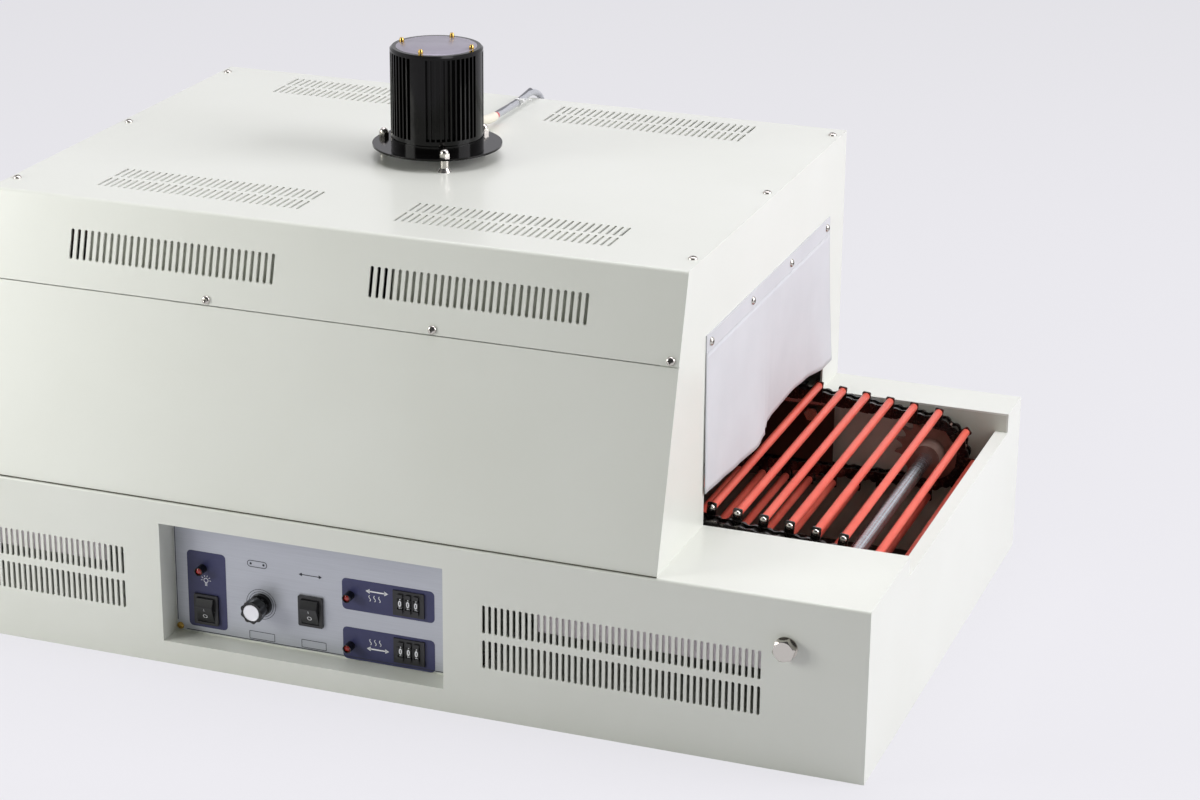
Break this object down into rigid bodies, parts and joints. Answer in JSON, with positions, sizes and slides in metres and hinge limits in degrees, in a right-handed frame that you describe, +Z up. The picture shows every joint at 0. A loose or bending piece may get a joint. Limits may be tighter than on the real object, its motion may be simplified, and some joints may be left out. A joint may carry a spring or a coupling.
{
  "type": "infrared shrink tunnel",
  "caption": "Bench-top infrared shrink tunnel: low sheet-metal base with a red-coated rod conveyor, vented hood with end curtains, roof fan motor and a recessed control panel.",
  "frame": {"origin": "on the floor under the middle of the base", "axes": "+Z up, +X along the conveyor's travel, -Y towards the control panel"},
  "size_m": [1.1, 0.6193, 0.548],
  "materials": {
    "enamel": "satin",
    "inner_sheet": "satin",
    "steel": "satin",
    "chain_steel": "satin",
    "silicone": "satin",
    "curtain": "matte",
    "faceplate": "satin",
    "black_plastic": "satin",
    "red_lens": "gloss",
    "brass": "satin",
    "black_aluminium": "gloss",
    "cast_iron": "matte",
    "quartz": "gloss",
    "cable": "satin",
    "sleeve": "satin"
  },
  "bodies": {
    "machine": {"base_front_panel": "enamel", "base_back_panel": "enamel", "base_end_left": "enamel", "base_end_right": "enamel", "base_bottom_pan": "enamel", "bay_walls": "inner_sheet", "control_recess": "enamel", "control_plate": "faceplate", "brass_screws": "brass", "switch_frames": "black_plastic", "speed_potentiometer": "steel", "lamps": "red_lens", "setter_housings": "black_plastic", "hood_top_cover": "enamel", "hood_lower_front": "enamel", "hood_back_panel": "enamel", "hood_end_left": "enamel", "hood_end_right": "enamel", "cover_screws": "steel", "chamber_liner": "inner_sheet", "upper_heaters": "quartz", "lower_heaters": "quartz", "motor_flange": "black_aluminium", "motor_standoffs": "steel", "motor_housing": "black_aluminium", "motor_cap": "black_aluminium", "motor_lead": "cable", "lead_sleeve": "sleeve", "lead_grommet": "cable", "curtain_clamps": "curtain", "chain_rails": "steel", "side_plates": "inner_sheet", "exit_axle": "steel", "entry_bearings": "cast_iron", "drive_gearmotor": "cast_iron", "axle_bolts": "steel"},
    "fan": {"fan_shaft": "steel", "fan_impeller": "inner_sheet"},
    "speed_dial": {"speed_knob": "black_plastic"},
    "power_switch": {"power_rocker": "black_plastic"},
    "heater_switch": {"heater_rocker": "black_plastic"},
    "exit_curtain": {"curtain_right": "curtain"},
    "entry_curtain": {"curtain_left": "curtain"},
    "upper_run": {"upper_chain": "chain_steel", "upper_rods": "silicone"},
    "lower_run": {"lower_chain": "chain_steel", "lower_rods": "silicone"},
    "exit_wheel": {"exit_sprockets": "chain_steel", "exit_chain": "chain_steel", "exit_rods": "silicone"},
    "entry_wheel": {"entry_shaft": "steel", "entry_sprockets": "chain_steel", "entry_chain": "chain_steel", "entry_rods": "silicone"},
    "upper_digit_1": {"upper_setter_wheel_1": "black_plastic"},
    "upper_digit_2": {"upper_setter_wheel_2": "black_plastic"},
    "upper_digit_3": {"upper_setter_wheel_3": "black_plastic"},
    "lower_digit_1": {"lower_setter_wheel_1": "black_plastic"},
    "lower_digit_2": {"lower_setter_wheel_2": "black_plastic"},
    "lower_digit_3": {"lower_setter_wheel_3": "black_plastic"}
  },
  "joints": [
    {"name": "conveyor_drive", "type": "hinge", "parent": "machine", "child": "entry_wheel", "pos_m": [-0.474, 0.037, 0.121], "axis": [0, 1, 0], "range_deg": [0, 42.4]},
    {"name": "exit_wheel_turn", "type": "hinge", "parent": "machine", "child": "exit_wheel", "pos_m": [0.474, 0.037, 0.121], "axis": [0, 1, 0], "range_deg": [0, 42.41]},
    {"name": "upper_run_travel", "type": "slide", "parent": "machine", "child": "upper_run", "axis": [1, 0, 0], "range_m": [0, 0.02545]},
    {"name": "lower_run_travel", "type": "slide", "parent": "machine", "child": "lower_run", "axis": [-1, 0, 0], "range_m": [0, 0.02545]},
    {"name": "fan_spin", "type": "hinge", "parent": "machine", "child": "fan", "pos_m": [0, 0.046, 0.4], "axis": [0, 0, 1], "continuous": true},
    {"name": "speed_turn", "type": "hinge", "parent": "machine", "child": "speed_dial", "pos_m": [-0.0535, -0.2635, 0.065], "axis": [0, 1, 0], "range_deg": [-135, 135]},
    {"name": "power_press", "type": "hinge", "parent": "machine", "child": "power_switch", "pos_m": [-0.1115, -0.265, 0.0505], "axis": [1, 0, 0], "range_deg": [-14, 0]},
    {"name": "heater_press", "type": "hinge", "parent": "machine", "child": "heater_switch", "pos_m": [-0.001, -0.265, 0.0665], "axis": [1, 0, 0], "range_deg": [-14, 0]},
    {"name": "exit_curtain_swing", "type": "hinge", "parent": "machine", "child": "exit_curtain", "pos_m": [0.353, 0.037, 0.3375], "axis": [0, -1, 0], "range_deg": [0, 75]},
    {"name": "entry_curtain_swing", "type": "hinge", "parent": "machine", "child": "entry_curtain", "pos_m": [-0.353, 0.037, 0.3375], "axis": [0, 1, 0], "range_deg": [0, 75]},
    {"name": "upper_digit_1_turn", "type": "hinge", "parent": "machine", "child": "upper_digit_1", "pos_m": [0.0919, -0.256, 0.0905], "axis": [1, 0, 0], "continuous": true},
    {"name": "upper_digit_2_turn", "type": "hinge", "parent": "machine", "child": "upper_digit_2", "pos_m": [0.1, -0.256, 0.0905], "axis": [1, 0, 0], "continuous": true},
    {"name": "upper_digit_3_turn", "type": "hinge", "parent": "machine", "child": "upper_digit_3", "pos_m": [0.1081, -0.256, 0.0905], "axis": [1, 0, 0], "continuous": true},
    {"name": "lower_digit_1_turn", "type": "hinge", "parent": "machine", "child": "lower_digit_1", "pos_m": [0.0919, -0.256, 0.0415], "axis": [1, 0, 0], "continuous": true},
    {"name": "lower_digit_2_turn", "type": "hinge", "parent": "machine", "child": "lower_digit_2", "pos_m": [0.1, -0.256, 0.0415], "axis": [1, 0, 0], "continuous": true},
    {"name": "lower_digit_3_turn", "type": "hinge", "parent": "machine", "child": "lower_digit_3", "pos_m": [0.1081, -0.256, 0.0415], "axis": [1, 0, 0], "continuous": true}
  ],
  "couplings": [
    {"joint": "exit_wheel_turn", "follows": "conveyor_drive", "ratio": 1},
    {"joint": "upper_run_travel", "follows": "conveyor_drive", "m_per_rad": 0.034361},
    {"joint": "lower_run_travel", "follows": "conveyor_drive", "m_per_rad": 0.034361}
  ]
}
